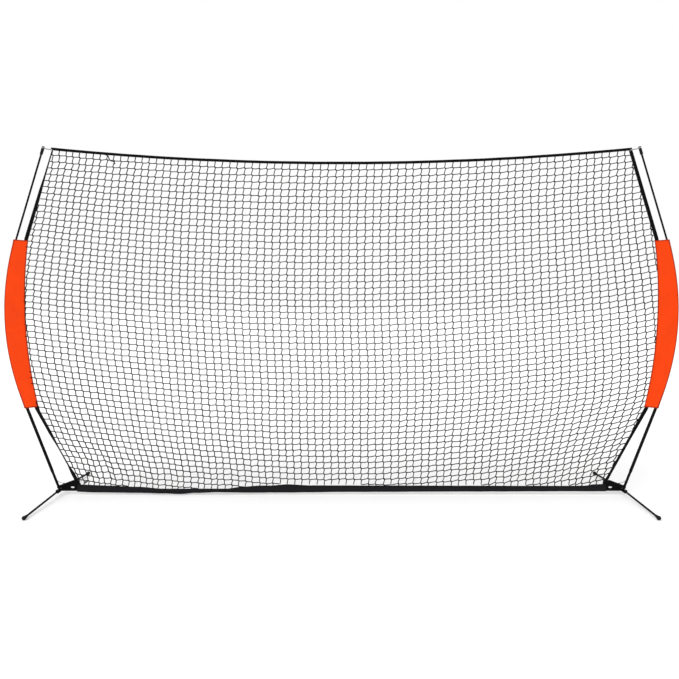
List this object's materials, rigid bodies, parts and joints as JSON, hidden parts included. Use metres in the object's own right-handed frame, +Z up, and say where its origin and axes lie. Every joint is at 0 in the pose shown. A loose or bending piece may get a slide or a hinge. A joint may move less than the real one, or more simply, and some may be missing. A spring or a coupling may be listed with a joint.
{
  "type": "sports barrier net",
  "caption": "Free-standing ball-stop net: a sagging mesh panel hung between two bowed poles, with coloured pole sleeves, a floor crossbar and fold-in feet.",
  "frame": {"origin": "on the floor under the middle of the crossbar", "axes": "+X along the crossbar, to the right as the player sees it; -Y towards the player; +Z up"},
  "size_m": [4.378, 0.996, 2.2657],
  "materials": {
    "black_steel": "satin powder coat",
    "zinc_steel": "zinc plated",
    "fibreglass": "smooth pultruded",
    "black_plastic": "moulded, fine grain",
    "rubber": "matte",
    "twine": "knotted polyethylene twine",
    "webbing": "woven, matte",
    "black_fabric": "woven, matte",
    "orange_fabric": "plain weave, satin",
    "grey_plastic": "moulded"
  },
  "bodies": {
    "net_frame": {"crossbar_middle": "black_steel", "crossbar_left": "black_steel", "crossbar_right": "black_steel", "foot_bracket_left": "black_steel", "foot_bracket_right": "black_steel", "pole_tube_left": "black_steel", "pole_tube_right": "black_steel", "pivot_bolt_front_right": "zinc_steel", "pivot_bolt_back_right": "zinc_steel", "pivot_bolt_front_left": "zinc_steel", "pivot_bolt_back_left": "zinc_steel", "pivot_nut_front_right": "zinc_steel", "pivot_nut_back_right": "zinc_steel", "pivot_nut_front_left": "zinc_steel", "pivot_nut_back_left": "zinc_steel", "rod_ferrule_left": "zinc_steel", "rod_ferrule_right": "zinc_steel", "rod_lower_left": "fibreglass", "rod_lower_right": "fibreglass", "rod_upper_left": "fibreglass", "rod_upper_right": "fibreglass", "pole_reducer_left": "black_plastic", "pole_reducer_right": "black_plastic", "tip_cap_left": "black_plastic", "tip_cap_right": "black_plastic", "net": "twine", "top_band": "webbing", "side_band_left": "webbing", "side_band_right": "webbing", "corner_gusset_left": "webbing", "corner_gusset_right": "webbing", "corner_loop_left": "webbing", "corner_loop_right": "webbing", "tie_cord_left": "webbing", "tie_cord_right": "webbing", "bottom_sleeve": "black_fabric", "pole_sleeve_left": "orange_fabric", "pole_sleeve_right": "orange_fabric", "hem_toggle": "grey_plastic"},
    "leg_front_right": {"leg_front_right": "black_steel", "leg_tip_front_right": "rubber"},
    "leg_back_right": {"leg_back_right": "black_steel", "leg_tip_back_right": "rubber"},
    "leg_front_left": {"leg_front_left": "black_steel", "leg_tip_front_left": "rubber"},
    "leg_back_left": {"leg_back_left": "black_steel", "leg_tip_back_left": "rubber"},
    "coupler_button_left": {"coupler_button_left": "zinc_steel"},
    "coupler_button_right": {"coupler_button_right": "zinc_steel"},
    "foot_button_left": {"foot_button_left": "zinc_steel"},
    "foot_button_right": {"foot_button_right": "zinc_steel"},
    "post_button_left": {"post_button_left": "zinc_steel"},
    "post_button_right": {"post_button_right": "zinc_steel"}
  },
  "joints": [
    {"name": "leg_front_right_fold", "type": "hinge", "parent": "net_frame", "child": "leg_front_right", "pos_m": [1.829, -0.032, 0.033], "axis": [0, 0, -1], "range_deg": [0, 90]},
    {"name": "leg_back_right_fold", "type": "hinge", "parent": "net_frame", "child": "leg_back_right", "pos_m": [1.829, 0.032, 0.033], "axis": [0, 0, 1], "range_deg": [0, 90]},
    {"name": "leg_front_left_fold", "type": "hinge", "parent": "net_frame", "child": "leg_front_left", "pos_m": [-1.829, -0.032, 0.033], "axis": [0, 0, 1], "range_deg": [0, 90]},
    {"name": "leg_back_left_fold", "type": "hinge", "parent": "net_frame", "child": "leg_back_left", "pos_m": [-1.829, 0.032, 0.033], "axis": [0, 0, -1], "range_deg": [0, 90]},
    {"name": "coupler_button_left_press", "type": "slide", "parent": "net_frame", "child": "coupler_button_left", "axis": [0, 0, -1], "range_m": [0, 0.002], "stiffness_N_per_m": 800},
    {"name": "coupler_button_right_press", "type": "slide", "parent": "net_frame", "child": "coupler_button_right", "axis": [0, 0, -1], "range_m": [0, 0.002], "stiffness_N_per_m": 800},
    {"name": "foot_button_left_press", "type": "slide", "parent": "net_frame", "child": "foot_button_left", "axis": [0, -1, 0], "range_m": [0, 0.002], "stiffness_N_per_m": 800},
    {"name": "foot_button_right_press", "type": "slide", "parent": "net_frame", "child": "foot_button_right", "axis": [0, -1, 0], "range_m": [0, 0.002], "stiffness_N_per_m": 800},
    {"name": "post_button_left_press", "type": "slide", "parent": "net_frame", "child": "post_button_left", "axis": [0, -1, 0], "range_m": [0, 0.0028], "stiffness_N_per_m": 800},
    {"name": "post_button_right_press", "type": "slide", "parent": "net_frame", "child": "post_button_right", "axis": [0, -1, 0], "range_m": [0, 0.0028], "stiffness_N_per_m": 800}
  ]
}
